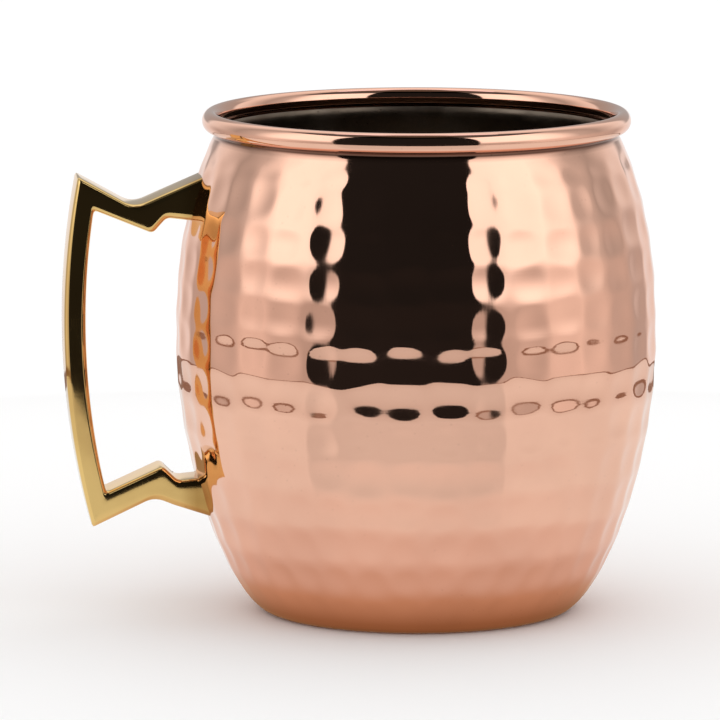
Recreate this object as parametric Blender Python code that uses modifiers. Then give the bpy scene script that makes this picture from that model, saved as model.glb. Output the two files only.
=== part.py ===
"""Hammered copper mug with a steel liner, a wired rim and a riveted cast brass handle.

Everything is in metres, +Z up. The origin is the centre of the flat base, on the mug's own
axis, and the handle stands out along -X. The copper shell, the steel liner and the base plate
are turned about Z, the handle is a flat outline cut to the shell's curve, and two rivets driven
from inside hold it.
"""

from math import atan2, cos, hypot, pi, radians, sin

import bmesh
import bpy
from mathutils import Vector

MM = 0.001

# Driving dimensions of the body
BELLY_RADIUS = 45.5 * MM
BELLY_HEIGHT = 52.0 * MM
BASE_RADIUS = 28.6 * MM
NECK_RADIUS = 38.05 * MM
NECK_HEIGHT = 90.5 * MM
LOWER_FULLNESS = 23.5 * MM      # how far the belly's vertical tangent reaches down
UPPER_FULLNESS = 26.3 * MM      # and up
HEEL = (36.2 * MM, 3.6 * MM)    # where the lower curve aims before it turns in to the base
SHELL_THICKNESS = 0.5 * MM
LINER_THICKNESS = 0.45 * MM
GAP = 0.3 * MM                  # kept between parts that touch on the real object
WALL_GAP = 0.2 * MM             # the same between the two walls, which share one curve

# Rolled rim
BEAD_RADIUS = 38.8 * MM
BEAD_HEIGHT = 93.1 * MM
BEAD_HALF_WIDTH = 1.6 * MM
BEAD_HALF_HEIGHT = 1.9 * MM
WIRE_CLEARANCE = 0.25 * MM
LINER_TOP = 91.5 * MM

# Base
FOOT_INNER_RADIUS = 24.6 * MM
PLATE_THICKNESS = 0.6 * MM
PLATE_LAP = 2.4 * MM            # how far the plate's raised edge laps over the shell's foot
LINER_FLOOR = 1.8 * MM

# Handle
HANDLE_HALF_DEPTH = 5.0 * MM
HANDLE_EDGE = 0.9 * MM
GRIP_TOP = (-64.2 * MM, 83.6 * MM)
GRIP_OUT = (-66.9 * MM, 55.5 * MM)
GRIP_BOTTOM = (-61.8 * MM, 17.0 * MM)
GRIP_INNER_TOP = (-61.2 * MM, 77.2 * MM)
GRIP_INNER_OUT = (-62.85 * MM, 55.5 * MM)
GRIP_INNER_BOTTOM = (-59.2 * MM, 23.7 * MM)
ARM_ROOT = -36.0 * MM           # the arms start here, inside the wall, and are cut to it

# Rivets
RIVET_HEIGHTS = {"upper_rivet": 77.9 * MM, "lower_rivet": 23.6 * MM}
SHANK_RADIUS = 1.1 * MM
SHANK_REACH = 3.2 * MM          # how far the shank runs into the handle
RIVET_CLEARANCE = 0.25 * MM
HEAD_RADIUS = 3.2 * MM
HEAD_HEIGHT = 1.3 * MM

TURN_STEPS = 40
MERGE_DISTANCE = 0.00001

COLLECTION = "copper_mug"
CUTTER_COLLECTION = "cutters"

# name: base colour, metallic, roughness
MATERIALS = {
    "hammered_copper": ((0.72, 0.38, 0.26, 1.0), 1.0, 0.18),
    "cast_brass": ((0.62, 0.42, 0.18, 1.0), 1.0, 0.22),
    "liner_steel": ((0.42, 0.40, 0.37, 1.0), 1.0, 0.34),
}


# ------------------------------------------------------------------ scene helpers

def clear_scene():
    """Remove whatever the file started with."""
    for thing in list(bpy.data.objects):
        bpy.data.objects.remove(thing, do_unlink=True)


def make_collection(name):
    """Return a new collection linked to the scene."""
    collection = bpy.data.collections.new(name)
    bpy.context.scene.collection.children.link(collection)
    return collection


def make_material(name):
    """Return a Principled material with the colour, metallic and roughness listed above."""
    colour, metallic, roughness = MATERIALS[name]
    material = bpy.data.materials.new(name)
    material.use_nodes = True
    shader = material.node_tree.nodes["Principled BSDF"]
    shader.inputs["Base Color"].default_value = colour
    shader.inputs["Metallic"].default_value = metallic
    shader.inputs["Roughness"].default_value = roughness
    material.diffuse_color = colour
    return material


def add_object(name, data, collection, material=None):
    """Link a new object holding data into the collection."""
    thing = bpy.data.objects.new(name, data)
    collection.objects.link(thing)
    if material is not None:
        data.materials.append(material)
    return thing


# ------------------------------------------------------------------ the body's curve

def bezier(points, t):
    """Return the point and the tangent of a cubic Bezier at t."""
    p0, p1, p2, p3 = [Vector(p) for p in points]
    s = 1.0 - t
    place = p0 * s**3 + p1 * (3 * s * s * t) + p2 * (3 * s * t * t) + p3 * t**3
    tangent = (p1 - p0) * (3 * s * s) + (p2 - p1) * (6 * s * t) + (p3 - p2) * (3 * t * t)
    return place, tangent


def upper_curve():
    """Return the Bezier from the neck down to the belly."""
    return [(NECK_RADIUS, NECK_HEIGHT), (NECK_RADIUS + 0.05 * MM, NECK_HEIGHT - 2.0 * MM),
            (BELLY_RADIUS, BELLY_HEIGHT + UPPER_FULLNESS), (BELLY_RADIUS, BELLY_HEIGHT)]


def lower_curve():
    """Return the Bezier from the belly down to the edge of the base."""
    return [(BELLY_RADIUS, BELLY_HEIGHT), (BELLY_RADIUS, BELLY_HEIGHT - LOWER_FULLNESS),
            HEEL, (BASE_RADIUS, 0.0)]


def wall_points(inset, upper_steps=7, lower_steps=9):
    """Return (radius, height) points down the wall, moved in by inset along its normal."""
    points = []
    for curve, steps in ((upper_curve(), upper_steps), (lower_curve(), lower_steps)):
        for i in range(steps + 1):
            place, tangent = bezier(curve, i / steps)
            inward = Vector((tangent[1], -tangent[0])).normalized()
            point = place + inward * inset
            if not points or hypot(point[0] - points[-1][0], point[1] - points[-1][1]) > 0.0001:
                points.append((point[0], point[1]))
    return points


def wall_at(height):
    """Return the wall's outer radius and its outward normal (radial, vertical) at a height."""
    curve = upper_curve() if height > BELLY_HEIGHT else lower_curve()
    low, high = 0.0, 1.0
    for _ in range(40):
        middle = 0.5 * (low + high)
        if bezier(curve, middle)[0][1] > height:
            low = middle
        else:
            high = middle
    place, tangent = bezier(curve, low)
    outward = Vector((-tangent[1], tangent[0])).normalized()
    return place[0], (outward[0], outward[1])


# ------------------------------------------------------------------ turned parts

def turn(name, profile, collection, material=None, closed=True, steps=TURN_STEPS):
    """Turn a (radius, height) profile about Z with a Screw modifier.

    A closed profile makes a ring. An open one starts and ends on the axis.
    """
    mesh = bpy.data.meshes.new(name)
    count = len(profile)
    edges = [(i, i + 1) for i in range(count - 1)]
    if closed:
        edges.append((count - 1, 0))
    mesh.from_pydata([(r, 0.0, z) for r, z in profile], edges, [])
    thing = add_object(name, mesh, collection, material)
    screw = thing.modifiers.new("turn", "SCREW")
    screw.axis = "Z"
    screw.angle = 2 * pi
    screw.steps = steps
    screw.render_steps = steps
    screw.use_merge_vertices = True
    screw.merge_threshold = MERGE_DISTANCE
    screw.use_smooth_shade = True
    return thing


def ellipse_arc(half_width, half_height, start, end, steps):
    """Return points round the bead's centre, angles in degrees from its bottom, outward first."""
    points = []
    for i in range(steps + 1):
        angle = radians(start + (end - start) * i / steps)
        points.append((BEAD_RADIUS + half_width * sin(angle), BEAD_HEIGHT - half_height * cos(angle)))
    return points


def build_outer_shell(collection, material):
    """Copper wall with its rim rolled round the wire and its foot turned in under the base."""
    roll = ellipse_arc(BEAD_HALF_WIDTH, BEAD_HALF_HEIGHT, 310, 5, 11)
    cavity = ellipse_arc(BEAD_HALF_WIDTH - SHELL_THICKNESS, BEAD_HALF_HEIGHT - SHELL_THICKNESS, -25, 310, 9)
    outside = wall_points(0.0)
    inside = [(r, z) for r, z in wall_points(SHELL_THICKNESS) if z > 1.2 * SHELL_THICKNESS]
    foot = [(FOOT_INNER_RADIUS, 0.0), (FOOT_INNER_RADIUS, SHELL_THICKNESS), (BASE_RADIUS, SHELL_THICKNESS)]
    profile = roll + outside + foot + inside[::-1] + cavity
    return turn("outer_shell", profile, collection, material)


def build_rim_wire(collection, material):
    """Oval wire that the rim is rolled round."""
    half_width = BEAD_HALF_WIDTH - SHELL_THICKNESS - WIRE_CLEARANCE
    half_height = BEAD_HALF_HEIGHT - SHELL_THICKNESS - WIRE_CLEARANCE
    section = ellipse_arc(half_width, half_height, 360, 36, 9)
    return turn("rim_wire", section, collection, material)


def build_base_plate(collection, material):
    """Flat copper disc whose raised edge laps over the shell's turned-in foot."""
    face = FOOT_INNER_RADIUS - GAP
    lap = FOOT_INNER_RADIUS + PLATE_LAP
    step = SHELL_THICKNESS + GAP
    profile = [
        (0.0, PLATE_THICKNESS),
        (face - PLATE_THICKNESS, PLATE_THICKNESS),
        (face - PLATE_THICKNESS, step + PLATE_THICKNESS),
        (lap, step + PLATE_THICKNESS),
        (lap, step),
        (face, step),
        (face, 0.0),
        (0.0, 0.0),
    ]
    return turn("base_plate", profile, collection, material, closed=False)


def liner_side(inset, floor):
    """Return the liner's wall from its top edge down the shell's curve to the flat floor."""
    wall = wall_points(inset)
    side = [(r, z) for r, z in wall if z > floor]
    (r0, z0), (r1, z1) = side[-1], wall[len(side)]
    share = (z0 - floor) / (z0 - z1)
    return [(side[0][0], LINER_TOP)] + side + [(r0 + (r1 - r0) * share, floor)]


def build_inner_liner(collection, material):
    """Thin steel cup that lines the shell up to just under the rolled rim."""
    outer = liner_side(SHELL_THICKNESS + WALL_GAP, LINER_FLOOR)
    top_of_floor = LINER_FLOOR + LINER_THICKNESS
    inner = liner_side(SHELL_THICKNESS + WALL_GAP + LINER_THICKNESS, top_of_floor)
    profile = [(0.0, top_of_floor)] + inner[::-1] + outer + [(0.0, LINER_FLOOR)]
    return turn("inner_liner", profile, collection, material, closed=False)


# ------------------------------------------------------------------ handle

def three_point_arc(start, middle, end, steps):
    """Return points along the circle through three points, both ends included."""
    (ax, ay), (bx, by), (cx, cy) = start, middle, end
    d = 2 * (ax * (by - cy) + bx * (cy - ay) + cx * (ay - by))
    a2, b2, c2 = ax * ax + ay * ay, bx * bx + by * by, cx * cx + cy * cy
    ux = (a2 * (by - cy) + b2 * (cy - ay) + c2 * (ay - by)) / d
    uy = (a2 * (cx - bx) + b2 * (ax - cx) + c2 * (bx - ax)) / d
    radius = hypot(ax - ux, ay - uy)
    first = atan2(ay - uy, ax - ux) % (2 * pi)
    last = atan2(cy - uy, cx - ux) % (2 * pi)
    angles = [first + (last - first) * i / steps for i in range(steps + 1)]
    return [(ux + radius * cos(angle), uy + radius * sin(angle)) for angle in angles]


def rounded(corners, steps=3):
    """Replace each (x, z, radius) corner by an arc; radius 0 keeps the point."""
    outline = []
    for i, (x, z, radius) in enumerate(corners):
        here = Vector((x, z))
        if radius == 0:
            outline.append(here)
            continue
        before = (Vector(corners[i - 1][:2]) - here).normalized()
        after = (Vector(corners[(i + 1) % len(corners)][:2]) - here).normalized()
        half = 0.5 * before.angle(after)
        centre = here + (before + after).normalized() * (radius / sin(half))
        start = here + before * (radius * cos(half) / sin(half)) - centre
        end = here + after * (radius * cos(half) / sin(half)) - centre
        sweep = start.angle(end)
        for k in range(steps + 1):
            share = k / steps
            mix = (start * sin((1 - share) * sweep) + end * sin(share * sweep)) / sin(sweep)
            outline.append(centre + mix)
    return outline


def handle_outline():
    """Return the handle's side view, from the upper root round the grip and back inside."""
    grip = [(x, z, 0) for x, z in three_point_arc(GRIP_TOP, GRIP_OUT, GRIP_BOTTOM, 14)[1:-1]]
    inner_grip = [(x, z, 0) for x, z in
                  three_point_arc(GRIP_INNER_BOTTOM, GRIP_INNER_OUT, GRIP_INNER_TOP, 12)[1:-1]]
    upper_top = [(ARM_ROOT, 85.1 * MM, 0), (-53.6 * MM, 77.7 * MM, 2.0 * MM)]
    tip_top = [(GRIP_TOP[0], GRIP_TOP[1], 1.0 * MM)]
    tip_bottom = [(GRIP_BOTTOM[0], GRIP_BOTTOM[1], 1.0 * MM)]
    lower_bottom = [(-50.1 * MM, 22.5 * MM, 1.6 * MM), (ARM_ROOT, 16.7 * MM, 0)]
    lower_top = [(ARM_ROOT, 26.2 * MM, 0), (-45.6 * MM, 25.7 * MM, 0.8 * MM),
                 (-48.5 * MM, 28.5 * MM, 1.0 * MM), (*GRIP_INNER_BOTTOM, 1.0 * MM)]
    upper_bottom = [(*GRIP_INNER_TOP, 0.9 * MM), (-50.2 * MM, 72.7 * MM, 1.0 * MM),
                    (-47.6 * MM, 75.6 * MM, 0.8 * MM), (ARM_ROOT, 75.0 * MM, 0)]
    corners = (upper_top + tip_top + grip + tip_bottom + lower_bottom
               + lower_top + inner_grip + upper_bottom)
    return rounded(corners)


def mesh_from_curve(curve_object, collection, material):
    """Replace a filled curve by a welded mesh object at the same place."""
    evaluated = curve_object.evaluated_get(bpy.context.evaluated_depsgraph_get())
    mesh = bpy.data.meshes.new_from_object(evaluated)
    work = bmesh.new()
    work.from_mesh(mesh)
    bmesh.ops.remove_doubles(work, verts=work.verts, dist=MERGE_DISTANCE)
    work.to_mesh(mesh)
    work.free()
    name = curve_object.name
    place = curve_object.matrix_world.copy()
    bpy.data.objects.remove(curve_object, do_unlink=True)
    mesh.materials.clear()
    thing = add_object(name, mesh, collection, material)
    thing.matrix_world = place
    return thing


def build_handle(collection, material):
    """Cast handle: its outline as a filled curve, thickened and with its edges eased."""
    curve = bpy.data.curves.new("handle", "CURVE")
    curve.dimensions = "2D"
    curve.fill_mode = "BOTH"
    curve.extrude = HANDLE_HALF_DEPTH - HANDLE_EDGE
    curve.bevel_depth = HANDLE_EDGE
    curve.bevel_resolution = 1
    curve.offset = -HANDLE_EDGE
    outline = handle_outline()
    spline = curve.splines.new("POLY")
    spline.points.add(len(outline) - 1)
    for point, place in zip(spline.points, outline):
        point.co = (place[0], place[1], 0.0, 1.0)
    spline.use_cyclic_u = True
    thing = add_object("handle", curve, collection)
    thing.rotation_euler = (radians(90), 0.0, 0.0)
    bpy.context.view_layer.update()
    return mesh_from_curve(thing, collection, material)


# ------------------------------------------------------------------ rivets and cuts

def rivet_frame(height):
    """Return where the rivet's axis leaves the shell, and the rotation that aims +Z outward."""
    radius, (radial, vertical) = wall_at(height)
    return Vector((-radius, 0.0, height)), (0.0, atan2(-radial, vertical), 0.0)


def build_rivet(name, collection, material):
    """Round-headed rivet: head against the liner, shank through both walls into the handle."""
    place, rotation = rivet_frame(RIVET_HEIGHTS[name])
    seat = -(SHELL_THICKNESS + WALL_GAP + LINER_THICKNESS + GAP)
    dome = [(HEAD_RADIUS * sin(radians(a)), seat - HEAD_HEIGHT * cos(radians(a))) for a in (60, 30, 0)]
    profile = [(0.0, SHANK_REACH), (SHANK_RADIUS, SHANK_REACH), (SHANK_RADIUS, seat),
               (HEAD_RADIUS, seat)] + dome
    rivet = turn(name, profile, collection, material, closed=False, steps=16)
    rivet.location = place
    rivet.rotation_euler = rotation
    return rivet


def rivet_cutter(name, collection):
    """Cylinder that clears one rivet's shank through the walls and into the handle."""
    place, rotation = rivet_frame(RIVET_HEIGHTS[name])
    radius = SHANK_RADIUS + RIVET_CLEARANCE
    reach = SHANK_REACH + RIVET_CLEARANCE
    profile = [(0.0, reach), (radius, reach), (radius, -reach), (0.0, -reach)]
    cutter = turn(f"{name}_hole", profile, collection, closed=False, steps=16)
    cutter.location = place
    cutter.rotation_euler = rotation
    return cutter


def wall_cutter(collection):
    """The shell's outside plus the gap, as a solid that trims the handle's ends."""
    side = wall_points(-GAP, upper_steps=14, lower_steps=16)
    profile = [(0.0, side[0][1])] + side + [(0.0, side[-1][1])]
    return turn("wall_cutter", profile, collection, closed=False)


def cut(target, cutter):
    """Subtract the cutter from the target with an exact Boolean."""
    modifier = target.modifiers.new(f"cut_{cutter.name}", "BOOLEAN")
    modifier.operation = "DIFFERENCE"
    modifier.solver = "EXACT"
    modifier.object = cutter


def hide_cutters(collection):
    """Show cutters as wires and leave them out of renders."""
    for cutter in collection.objects:
        cutter.hide_render = True
        cutter.display_type = "WIRE"


def main():
    """Build every part of the mug."""
    clear_scene()
    parts = make_collection(COLLECTION)
    cutters = make_collection(CUTTER_COLLECTION)
    copper = make_material("hammered_copper")
    brass = make_material("cast_brass")
    steel = make_material("liner_steel")

    shell = build_outer_shell(parts, copper)
    liner = build_inner_liner(parts, steel)
    build_rim_wire(parts, steel)
    build_base_plate(parts, copper)
    handle = build_handle(parts, brass)

    cut(handle, wall_cutter(cutters))
    for name in RIVET_HEIGHTS:
        build_rivet(name, parts, steel)
        hole = rivet_cutter(name, cutters)
        for target in (shell, liner, handle):
            cut(target, hole)
    hide_cutters(cutters)


main()
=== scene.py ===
"""Hammered copper mug: fine surfaces and finishes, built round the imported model.

Every surface is worked out with numpy as a profile turned about the mug's axis or a section
carried along the handle. Lengths are in metres, +Z is up, and the origin is the centre of the
base. The handle stands out along -X.
"""
import functools
import logging
import math
from dataclasses import dataclass
from enum import Enum
from typing import Any, Iterable, Sequence

import bpy
import numpy as np
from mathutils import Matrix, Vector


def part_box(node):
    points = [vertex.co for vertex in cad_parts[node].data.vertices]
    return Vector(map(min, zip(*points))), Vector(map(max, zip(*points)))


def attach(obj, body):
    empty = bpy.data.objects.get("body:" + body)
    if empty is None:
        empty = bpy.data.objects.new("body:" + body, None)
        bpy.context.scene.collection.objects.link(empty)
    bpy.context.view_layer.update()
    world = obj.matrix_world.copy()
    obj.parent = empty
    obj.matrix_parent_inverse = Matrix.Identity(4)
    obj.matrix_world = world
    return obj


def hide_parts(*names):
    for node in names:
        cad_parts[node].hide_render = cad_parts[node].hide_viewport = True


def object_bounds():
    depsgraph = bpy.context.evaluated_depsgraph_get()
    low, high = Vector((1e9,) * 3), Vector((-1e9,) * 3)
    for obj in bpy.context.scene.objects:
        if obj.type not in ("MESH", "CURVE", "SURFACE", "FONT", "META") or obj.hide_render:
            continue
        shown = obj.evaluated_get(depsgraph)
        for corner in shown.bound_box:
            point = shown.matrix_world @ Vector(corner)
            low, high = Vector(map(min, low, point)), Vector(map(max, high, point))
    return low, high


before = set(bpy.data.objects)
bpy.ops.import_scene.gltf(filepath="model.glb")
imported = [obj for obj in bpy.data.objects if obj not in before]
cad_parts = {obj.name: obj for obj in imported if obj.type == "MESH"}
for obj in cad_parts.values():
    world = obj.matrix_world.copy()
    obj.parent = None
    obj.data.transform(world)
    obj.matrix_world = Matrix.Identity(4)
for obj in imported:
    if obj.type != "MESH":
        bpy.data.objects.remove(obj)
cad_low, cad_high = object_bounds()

log = logging.getLogger("copper_mug")

MM = 0.001
TURN = 2.0 * math.pi
BODY = "root"

FINE_ROWS = 900

Array = np.ndarray
Point = tuple[float, float]
Triple = tuple[float, float, float]
Colour = Triple


# ---------- meshes from grids

def signed_volume(vertices: Array, triangles: Array) -> float:
    """Return the volume inside triangles, positive when they face outwards.

    Each triangle a, b, c adds a . (b x c) / 6.
    """
    a, b, c = (vertices[triangles[:, k]] for k in range(3))
    return float(np.einsum("ij,ij->", a, np.cross(b, c)) / 6.0)


def write_mesh(name: str, vertices: Array, quads: Array, fans: Array) -> bpy.types.Mesh:
    """Return a smooth mesh of quads and triangles whose faces point outwards.

    Args:
        name: The mesh's name.
        vertices: Points, one row each.
        quads: Four indices a row.
        fans: Three indices a row, which close the poles. It may have no rows.

    Returns:
        The new mesh.
    """
    split = np.concatenate([quads[:, [0, 1, 2]], quads[:, [0, 2, 3]], fans])
    if signed_volume(vertices, split) < 0:
        quads, fans = quads[:, ::-1], fans[:, ::-1]
    mesh = bpy.data.meshes.new(name)
    mesh.vertices.add(len(vertices))
    mesh.vertices.foreach_set("co", vertices.astype(np.float32).ravel())
    corners = np.concatenate([quads.ravel(), fans.ravel()]).astype(np.int32)
    sizes = np.concatenate([np.full(len(quads), 4), np.full(len(fans), 3)]).astype(np.int32)
    starts = np.concatenate([[0], np.cumsum(sizes)[:-1]]).astype(np.int32)
    mesh.loops.add(len(corners))
    mesh.loops.foreach_set("vertex_index", corners)
    mesh.polygons.add(len(sizes))
    mesh.polygons.foreach_set("loop_start", starts)
    mesh.update(calc_edges=True)
    mesh.validate()
    mesh.shade_smooth()
    return mesh


def ring_mesh(name: str, grid: Array, closed: bool) -> bpy.types.Mesh:
    """Skin a grid whose rows are rings.

    Neighbouring rings are joined by quads. A closed grid joins its last ring to its first, and
    an open one is closed by a fan at each end, round the mean of the end ring.

    Args:
        name: The mesh's name.
        grid: Points as rings x points x 3.
        closed: Whether the last ring meets the first.

    Returns:
        The new mesh.
    """
    rings, around = grid.shape[:2]
    index = np.arange(rings * around).reshape(rings, around)
    first = index if closed else index[:-1]
    second = np.roll(index, -1, axis=0) if closed else index[1:]
    quads = np.stack([first, second, np.roll(second, -1, axis=1), np.roll(first, -1, axis=1)],
                     axis=-1)
    vertices = grid.reshape(-1, 3)
    fans = np.empty((0, 3), dtype=int)
    if not closed:
        vertices = np.concatenate([vertices, grid[:1].mean(axis=1), grid[-1:].mean(axis=1)])
        start, end = len(vertices) - 2, len(vertices) - 1
        head, tail = index[0], index[-1]
        opening = np.stack([np.full(around, start), head, np.roll(head, -1)], axis=-1)
        closing = np.stack([tail, np.full(around, end), np.roll(tail, -1)], axis=-1)
        fans = np.concatenate([opening, closing])
    return write_mesh(name, vertices, quads.reshape(-1, 4), fans)


def angles(columns: int) -> Array:
    """Return evenly spaced angles round a whole turn."""
    return np.arange(columns) * (TURN / columns)


def turned(profile: Array, columns: int) -> Array:
    """Return the grid of a (radius, height) profile turned about Z.

    A point at radius r, height z and angle t lies at (r cos t, r sin t, z).
    """
    turn = angles(columns)
    radius, height = profile[:, :1], profile[:, 1:]
    flat = np.broadcast_to(height, (len(profile), columns))
    return np.stack([radius * np.cos(turn), radius * np.sin(turn), flat], axis=-1)


def along_normals(normals: Array, distance: Array) -> Array:
    """Return each grid point's step along its row's (radial, vertical) normal, turned about Z."""
    turn = angles(distance.shape[1])
    across, up = normals[:, :1] * distance, normals[:, 1:] * distance
    return np.stack([across * np.cos(turn), across * np.sin(turn), up], axis=-1)


def spread(points: Sequence[Point] | Array, spacing: float) -> Array:
    """Return the same path with points at most spacing apart, its own corners kept.

    Args:
        points: The path's corners.
        spacing: The longest step.

    Returns:
        The denser path.
    """
    path = np.asarray(points, dtype=float)
    lengths = np.linalg.norm(np.diff(path, axis=0), axis=1)
    steps = np.maximum(1, np.ceil(lengths / spacing)).astype(int)
    place = np.concatenate([k + np.arange(n) / n for k, n in enumerate(steps)] + [[len(path) - 1]])
    known = np.arange(len(path))
    return np.stack([np.interp(place, known, path[:, k]) for k in range(2)], axis=-1)


def ease_corner(path: Array, corner: Array, reach: float) -> Array:
    """Round one corner of a path.

    Points within reach of the corner move to the quadratic Bezier whose ends lie reach away on
    either side and whose middle control point is the corner.

    Args:
        path: Points along the path, with a point on the corner.
        corner: The corner.
        reach: How far the rounding extends along each side.

    Returns:
        The path with as many points as before.
    """
    steps = np.linalg.norm(np.diff(path, axis=0), axis=1)
    along = np.concatenate([[0.0], np.cumsum(steps)])
    here = along[np.argmin(np.linalg.norm(path - corner, axis=1))]
    ends = [np.array([np.interp(here + side * reach, along, path[:, k]) for k in range(2)])
            for side in (-1.0, 1.0)]
    share = np.clip((along - here + reach) / (2.0 * reach), 0.0, 1.0)[:, None]
    curve = (1 - share) ** 2 * ends[0] + 2 * share * (1 - share) * corner + share**2 * ends[1]
    near = np.abs(along - here) < reach
    return np.where(near[:, None], curve, path)


def smooth_step(value: Array, low: float, high: float) -> Array:
    """Return 0 below low, 1 above high and an even s-curve between."""
    share = np.clip((value - low) / (high - low), 0.0, 1.0)
    return share * share * (3.0 - 2.0 * share)


# ---------- shader graph

class Grain(Enum):
    """How a metal surface was worked."""

    POLISHED = "polished"
    SPUN = "spun"
    CAST = "cast"
    DRAWN = "drawn"
    SCUFFED = "scuffed"


class Value:
    """A number in the shader graph. Arithmetic on it adds Math nodes."""

    def __init__(self, graph: "Graph", socket: bpy.types.NodeSocket) -> None:
        """Wrap an output socket of the graph."""
        self.graph = graph
        self.socket = socket

    def _join(self, operation: str, first: Any, second: Any) -> "Value":
        """Return the result of a Math node."""
        node = self.graph.node("ShaderNodeMath", {"operation": operation}, {0: first, 1: second})
        return Value(self.graph, node.outputs[0])

    def __add__(self, other: Any) -> "Value":
        """Return the sum."""
        return self._join("ADD", self, other)

    __radd__ = __add__

    def __sub__(self, other: Any) -> "Value":
        """Return the difference."""
        return self._join("SUBTRACT", self, other)

    def __rsub__(self, other: Any) -> "Value":
        """Return the difference with this value taken away."""
        return self._join("SUBTRACT", other, self)

    def __mul__(self, other: Any) -> "Value":
        """Return the product."""
        return self._join("MULTIPLY", self, other)

    __rmul__ = __mul__

    def __pow__(self, other: float) -> "Value":
        """Return the power."""
        return self._join("POWER", self, other)

    def between(self, low: float, high: float) -> "Value":
        """Return 0 below low, 1 above high and a smooth rise between."""
        node = self.graph.node("ShaderNodeMapRange", {"interpolation_type": "SMOOTHSTEP"},
                               {"Value": self, "From Min": low, "From Max": high})
        return Value(self.graph, node.outputs["Result"])


class Graph:
    """A material's node tree, built through one method."""

    def __init__(self, name: str) -> None:
        """Start a material that holds a Principled shader and its output."""
        self.material = bpy.data.materials.new(name)
        self.material.use_nodes = True
        self.tree = self.material.node_tree
        self.tree.nodes.clear()
        self.shader = self.node("ShaderNodeBsdfPrincipled")
        self.node("ShaderNodeOutputMaterial", inputs={"Surface": self.shader.outputs[0]})
        self.place = self.node("ShaderNodeTexCoord").outputs["Object"]

    def node(self, kind: str, settings: dict[str, Any] | None = None,
             inputs: dict[str | int, Any] | None = None) -> bpy.types.Node:
        """Add a node, set it up, then fill its sockets.

        Args:
            kind: The node's type.
            settings: Its properties, set first.
            inputs: Numbers, colours, sockets or values for its input sockets.

        Returns:
            The node.
        """
        made = self.tree.nodes.new(kind)
        for key, setting in (settings or {}).items():
            setattr(made, key, setting)
        for key, content in (inputs or {}).items():
            self.fill(made.inputs[key], content)
        return made

    def fill(self, target: bpy.types.NodeSocket, content: Any) -> None:
        """Link a value or a socket to the target, or set a constant on it."""
        if isinstance(content, Value):
            self.tree.links.new(content.socket, target)
        elif isinstance(content, bpy.types.NodeSocket):
            self.tree.links.new(content, target)
        else:
            target.default_value = content

    def noise(self, scale: float, detail: float, stretch: Triple = (1.0, 1.0, 1.0),
              turn: Triple = (0.0, 0.0, 0.0)) -> Value:
        """Return fractal noise, from about 0.25 to 0.75, at a scale in cycles a metre."""
        mapping = self.node("ShaderNodeMapping", {},
                            {"Vector": self.place, "Scale": stretch, "Rotation": turn})
        made = self.node("ShaderNodeTexNoise", {"noise_dimensions": "3D"},
                         {"Vector": mapping.outputs[0], "Scale": scale, "Detail": detail})
        return Value(self, made.outputs[0])

    def lathe_lines(self, scale: float) -> Value:
        """Return noise that changes with radius and height, so its lines run round the axis."""
        parts = self.node("ShaderNodeSeparateXYZ", inputs={0: self.place})
        x, y, z = (Value(self, parts.outputs[k]) for k in range(3))
        radius = (x * x + y * y) ** 0.5
        vector = self.node("ShaderNodeCombineXYZ", inputs={0: radius + x * 0.02, 1: z + y * 0.02})
        made = self.node("ShaderNodeTexNoise", {"noise_dimensions": "2D"},
                         {"Vector": vector.outputs[0], "Scale": scale, "Detail": 4.0,
                          "Roughness": 0.65})
        return Value(self, made.outputs[0])

    def pits(self, scale: float, size: float) -> Value:
        """Return 1 in small scattered pits and 0 between them."""
        made = self.node("ShaderNodeTexVoronoi", {"feature": "F1"},
                         {"Vector": self.place, "Scale": scale})
        return 1.0 - Value(self, made.outputs["Distance"]).between(size * 0.4, size)

    def painted(self, name: str) -> Value:
        """Return a number stored on the mesh's points."""
        made = self.node("ShaderNodeAttribute", {"attribute_name": name})
        return Value(self, made.outputs["Fac"])

    def mix(self, share: Any, first: Any, second: Any) -> bpy.types.NodeSocket:
        """Return a colour that goes from first to second as share goes from 0 to 1."""
        made = self.node("ShaderNodeMix", {"data_type": "RGBA"}, {0: share})
        for socket, colour in ((made.inputs[6], first), (made.inputs[7], second)):
            self.fill(socket, (*colour, 1.0) if isinstance(colour, tuple) else colour)
        return made.outputs[2]

    def bump(self, height: Value, distance: float) -> None:
        """Raise the surface by height times distance in metres."""
        made = self.node("ShaderNodeBump", {}, {"Height": height, "Distance": distance})
        self.fill(self.shader.inputs["Normal"], made.outputs[0])


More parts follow.
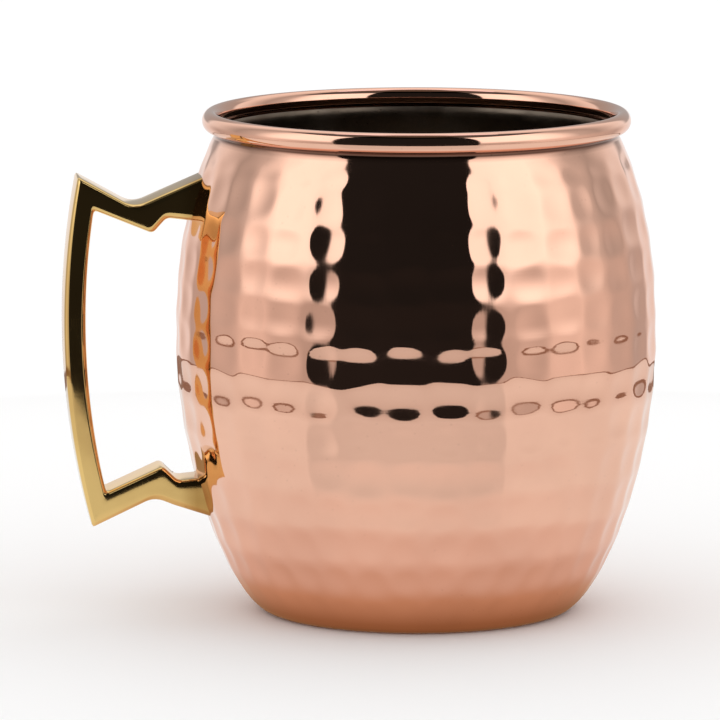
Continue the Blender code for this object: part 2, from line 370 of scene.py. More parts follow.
@dataclass(frozen=True)
class MetalFinish:
    """A worked metal surface: its colour, how it dulls with tarnish and painted shade, and the marks
    of its making.

    Roughness is its lowest and highest value, relief the height of the marks in metres, and hollow
    the name of the point numbers that say where painted shade darkens the colour towards dull.
    """

    name: str
    colour: Colour
    dull: Colour
    roughness: tuple[float, float]
    grain: Grain
    relief: float
    stain: float = 0.35
    pitting: float = 0.35
    hollow: str = ""

    def grain_height(self, graph: Graph) -> Value:
        """Return the height of the marks that this way of working leaves."""
        if self.grain is Grain.SPUN:
            return graph.lathe_lines(2600.0)
        if self.grain is Grain.CAST:
            return graph.noise(420.0, 4.0) * 0.7 + graph.noise(2400.0, 2.0) * 0.3
        if self.grain is Grain.DRAWN:
            return graph.lathe_lines(5200.0)
        if self.grain is Grain.SCUFFED:
            return graph.noise(900.0, 4.0) * 0.6 + graph.pits(1500.0, 0.3) * 0.4
        rubbed = graph.noise(260.0, 5.0, stretch=(1.0, 1.0, 9.0))
        crossed = graph.noise(300.0, 4.0, stretch=(7.0, 1.0, 1.0), turn=(0.4, 0.9, 0.3))
        return rubbed * 0.6 + crossed * 0.4

    @functools.lru_cache(maxsize=None)
    def build(self) -> bpy.types.Material:
        """Return the material, built once for all the pieces that share it."""
        graph = Graph(self.name)
        cloud = graph.noise(55.0, 4.0)
        smudge = graph.noise(150.0, 3.0).between(0.42, 0.68)
        height = self.grain_height(graph)
        pits = graph.pits(620.0, 0.16) * graph.noise(90.0, 2.0).between(0.45, 0.6)
        tarnish_and_shade = cloud.between(0.36, 0.72) * self.stain + pits * self.pitting
        # Painted shade: the stored numbers darken the colour towards dull, on top of the real
        # tarnish and pits.
        if self.hollow:
            tarnish_and_shade = tarnish_and_shade + graph.painted(self.hollow) * 0.9
        colour = graph.mix(tarnish_and_shade, self.colour, self.dull)
        low, high = self.roughness
        rough = (smudge * 0.6 + height * 0.5 + tarnish_and_shade * 0.4) * (high - low) + low
        graph.fill(graph.shader.inputs["Base Color"], colour)
        graph.fill(graph.shader.inputs["Roughness"], rough)
        graph.shader.inputs["Metallic"].default_value = 1.0
        graph.bump(height - pits * 0.5, self.relief)
        return graph.material


COPPER = MetalFinish("polished_hammered_copper", (0.90, 0.53, 0.39), (0.09, 0.035, 0.022),
                     (0.03, 0.08), Grain.POLISHED, 0.000002, stain=0.07, pitting=0.08,
                     hollow="painted_shade")
SPUN_COPPER = MetalFinish("spun_copper", (0.86, 0.48, 0.35), (0.56, 0.27, 0.17),
                          (0.16, 0.34), Grain.SPUN, 0.00003, stain=0.6)
BRASS = MetalFinish("polished_cast_brass", (0.83, 0.57, 0.22), (0.50, 0.29, 0.09),
                    (0.03, 0.085), Grain.CAST, 0.000003, hollow="painted_shade")
LINER_STEEL = MetalFinish("satin_liner_steel", (0.40, 0.34, 0.28), (0.12, 0.09, 0.065),
                          (0.26, 0.46), Grain.SCUFFED, 0.00002, hollow="painted_shade")
RIVET_STEEL = MetalFinish("satin_rivet_steel", (0.52, 0.50, 0.47), (0.33, 0.31, 0.28),
                          (0.20, 0.38), Grain.CAST, 0.00003)
WIRE_STEEL = MetalFinish("drawn_wire_steel", (0.50, 0.49, 0.48), (0.34, 0.32, 0.30),
                         (0.25, 0.42), Grain.DRAWN, 0.00002)


def placed(name: str, data: Any) -> bpy.types.Object:
    """Return a new object of the scene that holds the data."""
    made = bpy.data.objects.new(name, data)
    bpy.context.scene.collection.objects.link(made)
    return made


def finish_piece(mesh: bpy.types.Mesh, finish: MetalFinish, node: str,
                 marks: dict[str, Array] | None = None) -> None:
    """Dress a mesh and put it in place of its plain part.

    Args:
        mesh: The piece's mesh, already in place.
        finish: Its finish.
        node: The plain part that it replaces.
        marks: Numbers for each point, stored under their names.
    """
    for name, values in (marks or {}).items():
        layer = mesh.attributes.new(name, "FLOAT", "POINT")
        padded = np.zeros(len(mesh.vertices), dtype=np.float32)
        padded[:values.size] = values.ravel()
        layer.data.foreach_set("value", padded)
    mesh.materials.append(finish.build())
    piece = placed(mesh.name, mesh)
    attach(piece, BODY)
    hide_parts(node)
    log.info("%s: %d faces, %s", piece.name, len(mesh.polygons), finish.name)


# ---------- the body's curve

@dataclass(frozen=True)
class Barrel:
    """The outer curve of the wall: two cubic Beziers that meet at the belly.

    The reaches and the heel place their control points.
    """

    belly_radius: float
    belly_height: float = 52.0 * MM
    neck: Point = (38.05 * MM, 90.5 * MM)
    neck_reach: Point = (0.70 * MM, -1.9 * MM)
    base_radius: float = 28.6 * MM
    upper_reach: float = 26.3 * MM
    lower_reach: float = 23.5 * MM
    heel: Point = (36.2 * MM, 3.6 * MM)
    heel_round: float = 1.3 * MM
    samples: int = 600

    def curve(self) -> Array:
        """Return fine points from the neck down to the edge of the base."""
        belly = np.array([self.belly_radius, self.belly_height])
        neck, foot = np.array(self.neck), np.array([self.base_radius, 0.0])
        under_neck = neck + np.array(self.neck_reach)
        upper = (neck, under_neck, belly + np.array([0.0, self.upper_reach]), belly)
        lower = (belly, belly - np.array([0.0, self.lower_reach]), np.array(self.heel), foot)
        t = np.linspace(0.0, 1.0, self.samples)[:, None]
        halves = [(1 - t) ** 3 * a + 3 * (1 - t) ** 2 * t * b + 3 * (1 - t) * t**2 * c + t**3 * d
                  for a, b, c, d in (upper, lower)]
        return np.concatenate([halves[0], halves[1][1:]])

    def rows(self, count: int, inset: float = 0.0, start: float = 0.0,
             stop: float = 1.0) -> tuple[Array, Array, Array]:
        """Return evenly spaced rows down the wall.

        Args:
            count: How many rows.
            inset: How far inside the outer curve they lie, along its normal.
            start: Where the first row is, as a share of the curve's length.
            stop: Where the last row is.

        Returns:
            Points, outward normals and lengths along the curve.
        """
        fine = self.curve()
        steps = np.linalg.norm(np.diff(fine, axis=0), axis=1)
        along = np.concatenate([[0.0], np.cumsum(steps)])
        wanted = np.linspace(start, stop, count) * along[-1]
        tangent = np.gradient(fine, along, axis=0)
        normal = np.stack([-tangent[:, 1], tangent[:, 0]], axis=-1)
        normal /= np.linalg.norm(normal, axis=1, keepdims=True)
        point, outward = (np.stack([np.interp(wanted, along, data[:, k]) for k in range(2)], axis=-1)
                          for data in (fine, normal))
        return point - outward * inset, outward, wanted

    def at_height(self, height: float) -> tuple[float, Point]:
        """Return the outer radius and the outward normal at a height."""
        points, normals, _ = self.rows(FINE_ROWS)
        order = points[::-1, 1]
        radius = float(np.interp(height, order, points[::-1, 0]))
        normal = tuple(float(np.interp(height, order, normals[::-1, k])) for k in range(2))
        return radius, normal


@dataclass(frozen=True)
class HammerMarks:
    """Shallow hollows in rows round the wall, one above the other.

    Each mark is a paraboloid of the same curvature. The wall takes the lowest of them at every
    point, so the marks meet in soft ridges. Where four marks meet, the metal between them was
    hardly struck and stands up as a small bump.
    """

    pitch: float = 7.2 * MM
    first_row: float = 2.7 * MM
    row_count: int = 13
    per_row: int = 36
    first_column: float = math.radians(251.0)
    sag: float = 0.39 * MM
    crest: float = 0.95
    softness: float = 2.8
    wander: float = 0.11
    uneven: float = 0.16
    fade_in: Point = (2.0 * MM, 6.0 * MM)
    fade_out: Point = (80.0 * MM, 93.0 * MM)
    seed: int = 11

    def depth(self, turn: Array, along: Array) -> Array:
        """Return how far the wall is driven in, for each row and angle.

        With q the squared distance to a mark's centre in half pitches, plus a little that differs
        from mark to mark, the nearest marks and the untouched wall, which counts as q = crest,
        join as m = -ln(e^(-k crest) + sum(e^(-k q))) / k. The depth is sag (crest - m).

        Args:
            turn: Angles round the axis.
            along: Lengths down the wall's curve, one for each row.

        Returns:
            Depths as rows x angles.
        """
        random = np.random.default_rng(self.seed)
        size = (self.row_count + 2, self.per_row)
        shift_round, shift_down, extra = (random.uniform(-1.0, 1.0, size) for _ in range(3))
        row = (along - self.first_row) / self.pitch
        place = (turn - self.first_column) / TURN * self.per_row
        nearest, column = np.rint(row).astype(int), np.rint(place).astype(int)
        total = np.full((len(along), len(turn)), math.exp(-self.softness * self.crest))
        for step in (-1, 0, 1):
            which = np.clip(nearest + step, -1, self.row_count)
            for side in (-1, 0, 1):
                spot = np.ix_(which + 1, (column + side) % self.per_row)
                across = (place - column - side)[None, :] - self.wander * shift_round[spot]
                down = (row - which)[:, None] - self.wander * shift_down[spot]
                reach = 4.0 * (across**2 + down**2) + self.uneven * extra[spot]
                total += np.exp(-self.softness * reach)
        fade = smooth_step(along, *self.fade_in) * (1.0 - smooth_step(along, *self.fade_out))
        return self.sag * (self.crest + np.log(total) / self.softness) * fade[:, None]


# ---------- the copper body

@dataclass
class CopperBody:
    """The hammered shell with its rolled rim, the wire inside the roll and the base plate.

    The roll's spans are in degrees, from the bead's bottom and outward.
    """

    barrel: Barrel
    marks: HammerMarks
    thickness: float = 0.5 * MM
    bead_centre: Point = (38.8 * MM, 93.1 * MM)
    bead_half: Point = (1.6 * MM, 1.9 * MM)
    wire_clearance: float = 0.25 * MM
    foot_inner: float = 24.6 * MM
    plate_thickness: float = 0.6 * MM
    plate_lap: float = 2.4 * MM
    seam: float = 0.12 * MM
    columns: int = 468
    wall_rows: int = 150
    roll_span: Point = (310.0, -12.0)
    cavity_span: Point = (-25.0, 310.0)
    wire_span: Point = (360.0, 15.0)
    plain_columns: int = 240
    plate_gap: float = 0.3 * MM
    plate_centre: float = 0.3 * MM
    ring_pitch: float = 1.5 * MM
    ring_height: float = 0.02 * MM
    # How far the painted shade reaches under the bead, at the foot and round the handle's ends.
    neck_shade: float = 0.85 * MM
    foot_shade: Point = (3.0 * MM, 0.6 * MM)
    handle_ends: Point = (79.3 * MM, 22.3 * MM)
    end_shade_reach: float = 5.0 * MM
    end_shade_fade: float = 1.4 * MM

    def roll(self, inset: float, start: float, end: float, count: int) -> Array:
        """Return an arc of the bead's oval.

        Args:
            inset: How far inside the outer oval it lies.
            start: First angle in degrees, from the bottom and outward.
            end: Last angle.
            count: How many points.

        Returns:
            (radius, height) points.
        """
        angle = np.radians(np.linspace(start, end, count))
        across, up = (half - inset for half in self.bead_half)
        radius, height = self.bead_centre
        return np.stack([radius + across * np.sin(angle), height - up * np.cos(angle)], axis=-1)

    def build_shell(self) -> None:
        """Build the copper wall from the rim's roll down to the foot and back up inside."""
        points, normals, along = self.barrel.rows(self.wall_rows)
        hollow = self.marks.depth(angles(self.columns), along)
        points = self.round_heel(points)
        inner, _, _ = self.barrel.rows(12, inset=self.thickness, stop=0.985)
        foot = np.array([(self.foot_inner + self.seam, 0.0), (self.foot_inner, self.seam),
                         (self.foot_inner, self.thickness),
                         (self.barrel.base_radius - MM, self.thickness)])
        roll = self.roll(0.0, *self.roll_span, 30)
        cavity = self.roll(self.thickness, *self.cavity_span, 14)
        profile = np.concatenate([roll, points, foot, inner[::-1], cavity])
        grid = turned(profile, self.columns)
        rows = slice(len(roll), len(roll) + len(points))
        grid[rows] -= along_normals(normals, hollow)
        grid[rows, :, 2] = np.maximum(grid[rows, :, 2], 0.0)
        mesh = ring_mesh("hammered_shell", grid, closed=True)
        # The copper's colour carries painted shade under the bead, round the handle's ends and at
        # the foot.
        finish_piece(mesh, COPPER, "outer_shell", {"painted_shade": self.painted_shade(grid)})

    def round_heel(self, points: Array) -> Array:
        """Ease the corner where the wall meets the flat of the foot."""
        corner = np.array([self.barrel.base_radius, 0.0])
        path = np.concatenate([points, [[self.foot_inner + 2.0 * MM, 0.0]]])
        return ease_corner(path, corner, self.barrel.heel_round)[:-1]

    def painted_shade(self, grid: Array) -> Array:
        """Return the shade painted into the copper: in the crease under the bead, round the handle's
        ends and along the foot where the mug stands.

        Each is strongest at its seam and fades away from it. The flat of the foot gets less painted
        shade towards its middle.
        """
        radius = np.hypot(grid[..., 0], grid[..., 1])
        height = grid[..., 2]
        outside = smooth_step(radius, self.foot_inner, self.foot_inner + 6.0 * MM)
        # Painted shade in the crease under the bead.
        neck = np.exp(-((height - self.barrel.neck[1] - 0.3 * MM) / self.neck_shade) ** 4)
        neck *= radius < self.bead_centre[0] + 0.15 * MM
        # Painted shade at the foot, with a dark line where the mug meets the floor.
        wide, narrow = self.foot_shade
        foot = 0.16 * np.exp(-(height / wide) ** 2) + 0.8 * np.exp(-(height / narrow) ** 2)
        # Painted shade round the handle's ends, where they meet the wall.
        ends = np.zeros_like(height)
        for level in self.handle_ends:
            wall, _ = self.barrel.at_height(level)
            gap = np.sqrt((grid[..., 0] + wall) ** 2 + (0.9 * grid[..., 1]) ** 2
                          + (height - level) ** 2)
            ends += np.exp(-(np.maximum(gap - self.end_shade_reach, 0.0) / self.end_shade_fade) ** 2)
        return np.clip((neck + foot + ends * 0.2) * outside, 0.0, 1.0)

    def build_wire(self) -> None:
        """Build the oval wire inside the roll."""
        section = self.roll(self.thickness + self.wire_clearance, *self.wire_span, 24)
        mesh = ring_mesh("rim_wire_ring", turned(section, self.plain_columns), closed=True)
        finish_piece(mesh, WIRE_STEEL, "rim_wire")

    def build_base(self) -> None:
        """Build the base plate, with the faint rings that spinning leaves on its underside.

        The rings lift the underside by 0.02 mm as a cosine of the radius.
        """
        face, lap = self.foot_inner - self.plate_gap, self.foot_inner + self.plate_lap
        step, wall = self.thickness + self.plate_gap, self.plate_thickness
        centre, edge = self.plate_centre, self.seam
        profile = spread([
            (centre, wall), (face - wall, wall), (face - wall, step + wall - edge),
            (face - wall + edge, step + wall), (lap - edge, step + wall), (lap, step + wall - edge),
            (lap, step + edge), (lap - edge, step), (face, step), (face, edge), (face - edge, 0.0),
            (centre, 0.0)], spacing=0.35 * MM)
        under = profile[:, 1] < 0.5 * edge
        ring = 0.5 - 0.5 * np.cos(profile[:, 0] / self.ring_pitch * TURN)
        fade = smooth_step(face - profile[:, 0], 0.5 * MM, 2.0 * MM)
        profile[:, 1] += under * ring * self.ring_height * fade
        mesh = ring_mesh("spun_base_plate", turned(profile, self.plain_columns), closed=False)
        mesh.set_sharp_from_angle(angle=math.radians(50.0))
        finish_piece(mesh, SPUN_COPPER, "base_plate")

    def build(self) -> None:
        """Build the body's pieces."""
        self.build_shell()
        self.build_wire()
        self.build_base()


# ---------- the liner and rivets

@dataclass
class SteelLining:
    """The steel cup inside the shell and the two rivets that come through it."""

    barrel: Barrel
    marks: HammerMarks
    outer_inset: float = 0.7 * MM
    thickness: float = 0.45 * MM
    top: float = 91.5 * MM
    floor: float = 1.8 * MM
    lip: float = 0.12 * MM
    print_through: float = 0.45
    centre: float = 0.4 * MM
    floor_rows: int = 14
    columns: int = 360
    rivet_heights: Point = (77.9 * MM, 23.6 * MM)
    rivet_names: tuple[str, str] = ("upper_rivet", "lower_rivet")
    head_radius: float = 3.2 * MM
    head_height: float = 1.3 * MM
    head_gap: float = 0.12 * MM
    shank_radius: float = 1.1 * MM
    shank_reach: float = 3.2 * MM

    def wall(self, inset: float, floor: float, count: int) -> tuple[Array, Array, Array]:
        """Return rows down the liner's wall, from under the lip to where it meets the floor."""
        points, _, along = self.barrel.rows(FINE_ROWS, inset=inset)
        end = float(np.interp(floor, points[::-1, 1], along[::-1]) / along[-1])
        return self.barrel.rows(count, inset=inset, stop=end)

    def build_cup(self) -> None:
        """Build the liner: floor, inner wall, lip and outer wall.

        The hammer marks show through on the inside as low swellings.
        """
        top_of_floor = self.floor + self.thickness
        inner, normals, along = self.wall(self.outer_inset + self.thickness, top_of_floor, 118)
        outer, _, _ = self.wall(self.outer_inset, self.floor, 40)
        reach = inner[-1, 0] - 1.2 * MM
        inside_floor = np.stack([np.linspace(self.centre, reach, self.floor_rows),
                                 np.full(self.floor_rows, top_of_floor)], axis=-1)
        under_floor = np.array([(self.centre, self.floor)])
        near, far = inner[0, 0], outer[0, 0]
        lip = np.array([(near, self.top - self.lip), (near + self.lip, self.top),
                        (far - self.lip, self.top), (far, self.top - self.lip)])
        profile = np.concatenate([inside_floor, inner[::-1], lip, outer, under_floor])
        grid = turned(profile, self.columns)
        rows = slice(len(inside_floor), len(inside_floor) + len(inner))
        swell = self.marks.depth(angles(self.columns), along) * self.print_through
        grid[rows] -= along_normals(normals[::-1], swell[::-1])
        height = grid[..., 2]
        # Painted shade: the liner is darker in the corner round its floor and towards the lip.
        ring = np.exp(-((height - top_of_floor) / (2.5 * MM)) ** 2)
        ring += smooth_step(height, self.top - 7.0 * MM, self.top - 1.0 * MM)
        mesh = ring_mesh("steel_liner", grid, closed=False)
        finish_piece(mesh, LINER_STEEL, "inner_liner", {"painted_shade": ring * 0.7})

    def rivet_profile(self) -> Array:
        """Return the rivet's (radius, distance outward) outline, from its tip to its crown."""
        seat = -(self.outer_inset + self.thickness + self.head_gap)
        angle = np.radians(np.linspace(90.0, 3.0, 16))
        dome = np.stack([self.head_radius * np.sin(angle),
                         seat - self.head_height * np.cos(angle)], axis=-1)
        body = spread([(0.3 * MM, self.shank_reach), (self.shank_radius, self.shank_reach),
                       (self.shank_radius, seat), (self.head_radius, seat)], 0.5 * MM)
        return np.concatenate([body, dome[1:]])

    def build_rivet(self, name: str, height: float) -> None:
        """Build one rivet square to the wall.

        The rivet's own axis points along the wall's normal n on the -X side, so a point at
        radius r, angle t and distance d lies at p + d n + r (cos t u + sin t v), with u and v
        square to n.
        """
        radius, (radial, vertical) = self.barrel.at_height(height)
        outward = np.array([-radial, 0.0, vertical])
        side = np.array([0.0, 1.0, 0.0])
        upward = np.cross(outward, side)
        local = turned(self.rivet_profile(), 72)
        grid = (np.array([-radius, 0.0, height]) + local[..., 2:] * outward
                + local[..., :1] * side + local[..., 1:2] * upward)
        mesh = ring_mesh(f"{name}_domed", grid, closed=False)
        mesh.set_sharp_from_angle(angle=math.radians(50.0))
        finish_piece(mesh, RIVET_STEEL, name)

    def build(self) -> None:
        """Build the cup and its rivets."""
        self.build_cup()
        for name, height in zip(self.rivet_names, self.rivet_heights):
            self.build_rivet(name, height)


# ---------- the handle

@dataclass
class BrassHandle:
    """A cast strap with an arched grip and two stepped arms.

    Its outer and its inner edge are two paths in the XZ plane with the same number of points.
    Each pair of points spans one section, a rounded rectangle square to that plane.
    """

    barrel: Barrel
    half_depth: float = 5.0 * MM
    edge_round: float = 1.25 * MM
    root_bite: float = 0.75 * MM
    grip_outer: tuple[Point, Point, Point] = ((-64.2 * MM, 83.6 * MM), (-66.9 * MM, 55.5 * MM),
                                              (-61.8 * MM, 17.0 * MM))
    grip_inner: tuple[Point, Point, Point] = ((-61.2 * MM, 77.2 * MM), (-62.85 * MM, 55.5 * MM),
                                              (-59.2 * MM, 23.7 * MM))
    arm_points: tuple[int, int, int] = (12, 14, 34)
    grip_points: int = 120
    corner_points: int = 9
    # Where the painted shade at the handle's roots is measured from, and how far out it reaches.
    root_shade_height: float = 79.0 * MM
    root_shade_reach: float = 3.0 * MM

    def root(self, height: float) -> Point:
        """Return a point a little inside the wall at a height."""
        radius, _ = self.barrel.at_height(height)
        return (-(radius - self.root_bite), height)

    @staticmethod
    def arc(ends: tuple[Point, Point, Point], count: int) -> Array:
        """Return points along the circle through three points.

        The centre is where the perpendicular bisectors cross.
        """
        a, b, c = (np.array(p) for p in ends)
        sides = 2.0 * np.stack([b - a, c - a])
        centre = np.linalg.solve(sides, np.array([b @ b - a @ a, c @ c - a @ a]))
        start, end = (math.atan2(*(p - centre)[::-1]) % TURN for p in (a, c))
        angle = np.linspace(start, end, count)
        radius = np.linalg.norm(a - centre)
        return centre + radius * np.stack([np.cos(angle), np.sin(angle)], axis=-1)

    @staticmethod
    def run(start: Point, end: Point, count: int) -> Array:
        """Return points on a line, closer together towards both ends, the last left out."""
        share = 0.5 - 0.5 * np.cos(np.linspace(0.0, math.pi, count, endpoint=False))
        return np.array(start) + share[:, None] * (np.array(end) - np.array(start))

    def edge(self, corners: Sequence[Point], grip: tuple[Point, Point, Point],
             rounding: Sequence[float]) -> Array:
        """Return one edge of the handle from the upper root to the lower root.

        Args:
            corners: Three corners of the upper arm, then three of the lower one.
            grip: Three points on the grip's arc.
            rounding: How far each corner's easing reaches, in the order they come.

        Returns:
            The edge's points.
        """
        upper, lower = list(corners[:3]), list(corners[3:])
        chain = [*upper, grip[0]]
        parts = [self.run(a, b, n) for a, b, n in zip(chain, chain[1:], self.arm_points)]
        parts.append(self.arc(grip, self.grip_points)[:-1])
        chain = [grip[2], *lower]
        parts += [self.run(a, b, n) for a, b, n in zip(chain, chain[1:], self.arm_points[::-1])]
        path = np.concatenate([*parts, [lower[-1]]])
        for corner, reach in zip([*upper[1:], grip[0], grip[2], *lower[:-1]], rounding):
            if reach > 0:
                path = ease_corner(path, np.array(corner), reach)
        return path

    def edges(self) -> tuple[Array, Array]:
        """Return the outer and the inner edge."""
        outer = self.edge(
            [self.root(83.4 * MM), (-48.9 * MM, 79.75 * MM), (-53.6 * MM, 77.7 * MM),
             (-50.1 * MM, 22.5 * MM), (-46.4 * MM, 21.0 * MM), self.root(18.6 * MM)],
            self.grip_outer, (0.0, 2.4 * MM, 0.6 * MM, 0.6 * MM, 2.0 * MM, 0.0))
        inner = self.edge(
            [self.root(75.0 * MM), (-47.6 * MM, 75.6 * MM), (-50.2 * MM, 72.7 * MM),
             (-48.5 * MM, 28.5 * MM), (-45.6 * MM, 25.7 * MM), self.root(26.1 * MM)],
            self.grip_inner, (0.9 * MM, 0.9 * MM, 0.8 * MM, 0.8 * MM, 0.9 * MM, 0.9 * MM))
        return outer, inner

    def section(self, half_width: Array) -> Array:
        """Return rounded rectangles, one for each half width.

        Each corner is a quarter circle of the edge rounding, or of most of the half width where
        that is smaller.

        Args:
            half_width: Half the distance between the edges, one for each section.

        Returns:
            (across, depth) points as sections x points x 2.
        """
        quarter = np.linspace(0.0, 0.5 * math.pi, self.corner_points)
        angle = np.concatenate([quarter + k * 0.5 * math.pi for k in range(4)])
        side_x = np.repeat([1.0, -1.0, -1.0, 1.0], self.corner_points)
        side_y = np.repeat([1.0, 1.0, -1.0, -1.0], self.corner_points)
        round_off = np.minimum(self.edge_round, 0.8 * half_width)[:, None]
        across = side_x * (half_width[:, None] - round_off) + round_off * np.cos(angle)
        depth = side_y * (self.half_depth - round_off) + round_off * np.sin(angle)
        return np.stack([across, depth], axis=-1)

    def build(self) -> None:
        """Build the handle."""
        outer, inner = self.edges()
        centre, half = 0.5 * (outer + inner), 0.5 * (outer - inner)
        width = np.linalg.norm(half, axis=1)
        section = self.section(width)
        direction = half / width[:, None]
        flat = centre[:, None, :] + section[..., :1] * direction[:, None, :]
        grid = np.stack([flat[..., 0], section[..., 1], flat[..., 1]], axis=-1)
        mesh = ring_mesh("brass_handle", grid, closed=False)
        mesh.set_sharp_from_angle(angle=math.radians(60.0))
        # The brass's colour carries painted shade at the handle's roots.
        finish_piece(mesh, BRASS, "handle", {"painted_shade": self.painted_shade(grid)})

    def painted_shade(self, grid: Array) -> Array:
        """Return the shade painted into the brass where it meets the wall: most at the wall, and
        evenly less outwards.
        """
        radius = np.hypot(grid[..., 0], grid[..., 1])
        wall, _ = self.barrel.at_height(self.root_shade_height)
        return np.clip(1.0 - (radius - wall) / self.root_shade_reach, 0.0, 1.0) * 0.8


# ---------- studio and camera

def glowing(name: str) -> bpy.types.Material:
    """Return a material that glows with the colour stored on its mesh's points."""
    graph = Graph(name)
    graph.shader.inputs["Base Color"].default_value = (0.0, 0.0, 0.0, 1.0)
    graph.shader.inputs["Specular IOR Level"].default_value = 0.0
    stored = graph.node("ShaderNodeAttribute", {"attribute_name": "glow"})
    graph.fill(graph.shader.inputs["Emission Color"], stored.outputs["Color"])
    graph.shader.inputs["Emission Strength"].default_value = 1.0
    return graph.material


def add_card(name: str, grid: Array, glow: Array) -> None:
    """Add a glowing studio card that only shows in reflections.

    Args:
        name: The card's name.
        grid: Its points as rows x columns x 3.
        glow: Their linear colours, in the same layout.
    """
    rows, columns = grid.shape[:2]
    index = np.arange(rows * columns).reshape(rows, columns)
    quads = np.stack([index[:-1, :-1], index[:-1, 1:], index[1:, 1:], index[1:, :-1]], axis=-1)
    mesh = bpy.data.meshes.new(name)
    mesh.from_pydata(grid.reshape(-1, 3).tolist(), [], quads.reshape(-1, 4).tolist())
    layer = mesh.attributes.new("glow", "FLOAT_COLOR", "POINT")
    opaque = np.concatenate([glow.reshape(-1, 3), np.ones((rows * columns, 1))], axis=1)
    layer.data.foreach_set("color", opaque.astype(np.float32).ravel())
    mesh.materials.append(glowing(name))
    card = placed(name, mesh)
    card.visible_camera = False
    card.visible_diffuse = False
    card.visible_shadow = False


@dataclass(frozen=True)
class Surround:
    """The studio as the mug reflects it: an upright ring, a ceiling and the table's top.

    Angles are in degrees round the mug, 0 on the camera's side. Each stop of the ring is an
    angle with the glow near the table's edge and the glow further up. rear_band and front_top
    are two heights and the share of light lost there. table_shade is two angles and a factor.
    """

    facing: float
    radius: float = 0.275
    height: float = 0.75
    rise: Point = (0.045, 0.125)
    front_end: Point = (96.0, 108.0)
    warm: Colour = (1.0, 0.93, 0.90)
    far_edge: Colour = (0.30, 0.19, 0.14)
    edge_height: float = 0.0045
    front_top: Triple = (0.40, 0.44, 0.92)
    rear_start: Point = (138.0, 146.0)
    rear_band: Triple = (0.085, 0.32, 0.55)
    band_edges: Point = (0.02, 0.1)
    stops: tuple[Triple, ...] = (
        (-180.0, 0.90, 1.00), (-142.0, 0.90, 1.00), (-128.0, 0.55, 0.90), (-106.0, 0.60, 0.46),
        (-91.0, 0.72, 0.66), (-78.0, 0.88, 1.30), (-66.0, 0.76, 1.48), (-50.0, 0.58, 1.45),
        (-43.1, 0.56, 1.35), (-42.1, 0.020, 0.016), (30.6, 0.018, 0.014), (31.6, 0.58, 1.40),
        (50.0, 0.62, 1.50), (64.0, 0.88, 1.55), (78.0, 0.94, 1.30), (91.0, 0.78, 0.64),
        (107.0, 0.64, 0.48), (128.0, 0.55, 0.90), (142.0, 0.90, 1.00), (180.0, 0.90, 1.00))
    ceiling: Colour = (0.13, 0.11, 0.09)
    skylight: Colour = (1.25, 1.20, 1.35)
    skylight_edge: Point = (0.09, 0.12)
    # Painted shadow: the table glows dark and brown close to the mug, where the mug's own shadow
    # falls, and pale further out.
    table: tuple[tuple[float, Colour], ...] = (
        (0.000, (0.22, 0.11, 0.05)), (0.030, (0.30, 0.15, 0.07)), (0.037, (0.56, 0.36, 0.25)),
        (0.045, (0.72, 0.58, 0.52)), (0.055, (0.81, 0.71, 0.67)), (0.071, (0.88, 0.84, 0.82)),
        (0.100, (0.91, 0.91, 0.90)), (0.160, (0.92, 0.93, 0.92)), (0.275, (0.82, 0.80, 0.78)))
    table_shade: Triple = (-42.0, 34.0, 0.83)
    shade_edge: float = 3.0
    shade_reach: Point = (0.065, 0.12)

    def around(self, angle: Array, radius: float | Array, level: Array) -> Array:
        """Return the points at each angle, radius and height, as rows x angles x 3."""
        turn = np.radians(angle + self.facing)
        return np.stack(np.broadcast_arrays(radius * np.sin(turn), -radius * np.cos(turn), level),
                        axis=-1)

    def build_ring(self) -> None:
        """Build the ring.

        At height z the glow goes from the lower to the upper stop along an s-curve. The lower
        glow is a little warmer, and the table's far edge is a thin dark line. A dimmer band
        crosses the rear, and the front is dark above its panels.
        """
        angle = np.linspace(-180.0, 180.0, 721)
        level = np.concatenate([np.array([0.0, 0.9, 1.1]) * self.edge_height,
                                np.linspace(0.01, 0.46, 46), np.linspace(0.5, self.height, 4)])
        known, low, high = (np.array([stop[k] for stop in self.stops]) for k in range(3))
        share = smooth_step(level, *self.rise)[:, None, None]
        lower = np.interp(angle, known, low)[None, :, None] * np.array(self.warm)
        upper = np.interp(angle, known, high)[None, :, None] * np.ones(3)
        glow = lower * (1.0 - share) + upper * share
        (start, end, drop), (foot, head) = self.rear_band, self.band_edges
        across = (smooth_step(level, start, start + foot)
                  * (1.0 - smooth_step(level, end - head, end)))
        behind = smooth_step(np.abs(angle), *self.rear_start)
        glow *= 1.0 - drop * (across[:, None] * behind[None, :])[..., None]
        start, end, drop = self.front_top
        ahead = 1.0 - smooth_step(np.abs(angle), *self.front_end)
        glow *= 1.0 - drop * (smooth_step(level, start, end)[:, None] * ahead[None, :])[..., None]
        line = (level < self.edge_height)[:, None, None]
        dark = np.minimum(glow, np.array(self.far_edge))
        grid = self.around(angle, self.radius, level[:, None])
        add_card("studio_ring", grid, np.where(line, dark, glow))

    @staticmethod
    def graded(stops: Sequence[tuple[float, Colour]], radii: Array) -> Array:
        """Return the colour at each radius, blended between the stops."""
        known = np.array([stop[0] for stop in stops])
        colours = np.array([stop[1] for stop in stops])
        return np.stack([np.interp(radii, known, colours[:, k]) for k in range(3)], axis=-1)

    def build_disc(self, name: str, level: float, radii: Array, glow: Array) -> None:
        """Build a flat disc at a height, with its glow given as radii x angles x 3."""
        angle = np.linspace(-180.0, 180.0, glow.shape[1])
        add_card(name, self.around(angle, radii[:, None], np.full((1, 1), level)), glow)

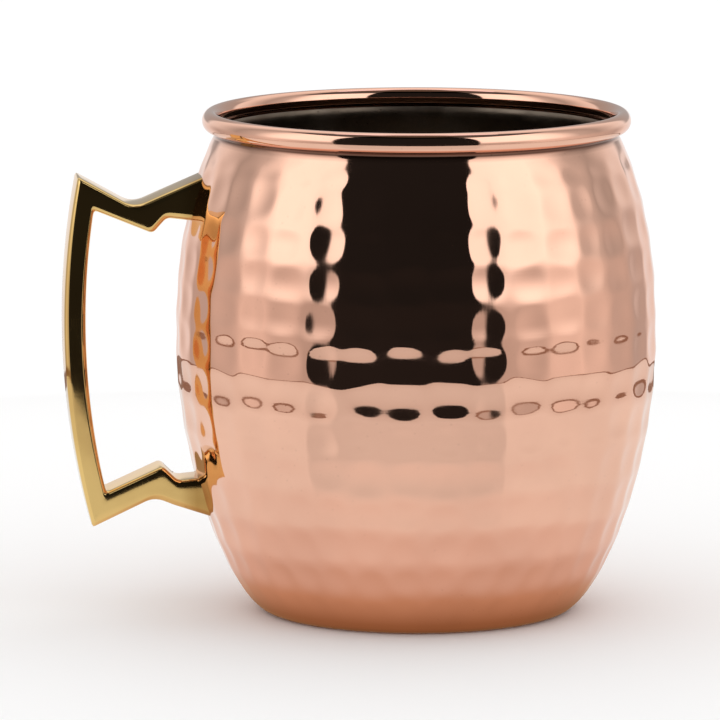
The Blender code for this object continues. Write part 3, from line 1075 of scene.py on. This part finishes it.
    def build_table(self) -> None:
        """Build the table's top, with the mug's shadow painted into its glow: dimmer and browner
        near the mug and paler further out.

        Towards the camera it is dimmed by one factor, which sets in between the two reaches.
        """
        radii = np.concatenate([np.linspace(0.0005, 0.12, 60), np.linspace(0.13, self.radius, 16)])
        angle = np.linspace(-180.0, 180.0, 361)
        base = self.graded(self.table, radii)
        left, right, factor = self.table_shade
        edge = self.shade_edge
        sector = (smooth_step(angle, left - edge, left + edge)
                  * (1.0 - smooth_step(angle, right - edge, right + edge)))
        outward = smooth_step(radii, *self.shade_reach)
        dim = 1.0 - (1.0 - factor) * outward[:, None] * sector[None, :]
        self.build_disc("table_top", -0.0002, radii, base[:, None, :] * dim[..., None])

    def build(self) -> None:
        """Build the ring, the table's top and the ceiling, which is dim but for its rear."""
        self.build_ring()
        self.build_table()
        radii = np.linspace(0.001, self.radius, 56)
        rear = smooth_step(np.abs(np.linspace(-180.0, 180.0, 181)), *self.front_end)
        share = (smooth_step(radii, *self.skylight_edge)[:, None] * rear[None, :])[..., None]
        glow = np.array(self.ceiling) * (1.0 - share) + np.array(self.skylight) * share
        self.build_disc("studio_ceiling", self.height, radii, glow)


@dataclass
class Studio:
    """A pale floor, even light, the reflected surround and the camera."""

    azimuth: float = -6.0
    distance: float = 1.3
    camera_height: float = 0.2412
    aim_height: float = 47.5 * MM
    lens: float = 347.4
    floor_side: float = 6.0
    sky_strength: float = 1.12

    def build_floor(self) -> None:
        """Build the pale floor."""
        graph = Graph("pale_floor")
        graph.shader.inputs["Base Color"].default_value = (0.90, 0.90, 0.90, 1.0)
        graph.shader.inputs["Roughness"].default_value = 0.9
        mesh = bpy.data.meshes.new("floor")
        side = self.floor_side
        mesh.from_pydata([(-side, -side, 0), (side, -side, 0), (side, side, 0), (-side, side, 0)],
                         [], [(0, 1, 2, 3)])
        mesh.materials.append(graph.material)
        floor = placed("floor", mesh)
        floor.visible_glossy = False

    def build_sky(self) -> None:
        """Fill the room with even white light."""
        world = bpy.data.worlds.new("studio_white")
        world.use_nodes = True
        sky = world.node_tree.nodes["Background"]
        sky.inputs["Color"].default_value = (1.0, 1.0, 1.0, 1.0)
        sky.inputs["Strength"].default_value = self.sky_strength
        bpy.context.scene.world = world
        bpy.context.scene.view_settings.view_transform = "Standard"

    def build_camera(self) -> None:
        """Place the camera, aimed at the middle of the mug and its handle."""
        data = bpy.data.cameras.new("camera")
        data.lens = self.lens
        data.clip_start, data.clip_end = 0.01, 50.0
        camera = placed("camera", data)
        turn = math.radians(self.azimuth)
        middle = 0.5 * (cad_low.x + cad_high.x)
        camera.location = (middle + math.sin(turn) * self.distance, -math.cos(turn) * self.distance,
                           self.camera_height)
        drop = math.atan2(self.camera_height - self.aim_height, self.distance)
        camera.rotation_euler = (0.5 * math.pi - drop, 0.0, turn)
        bpy.context.scene.camera = camera

    def build(self) -> None:
        """Build the studio."""
        self.build_camera()
        self.build_floor()
        Surround(self.azimuth).build()
        self.build_sky()


def main() -> None:
    """Build every piece."""
    logging.basicConfig(level=logging.INFO, format="%(name)s: %(message)s")
    Studio().build()
    _, shell_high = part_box("outer_shell")
    barrel = Barrel(belly_radius=float(shell_high[0]))
    marks = HammerMarks()
    CopperBody(barrel, marks).build()
    SteelLining(barrel, marks).build()
    BrassHandle(barrel).build()


if __name__ == "__main__":
    main()
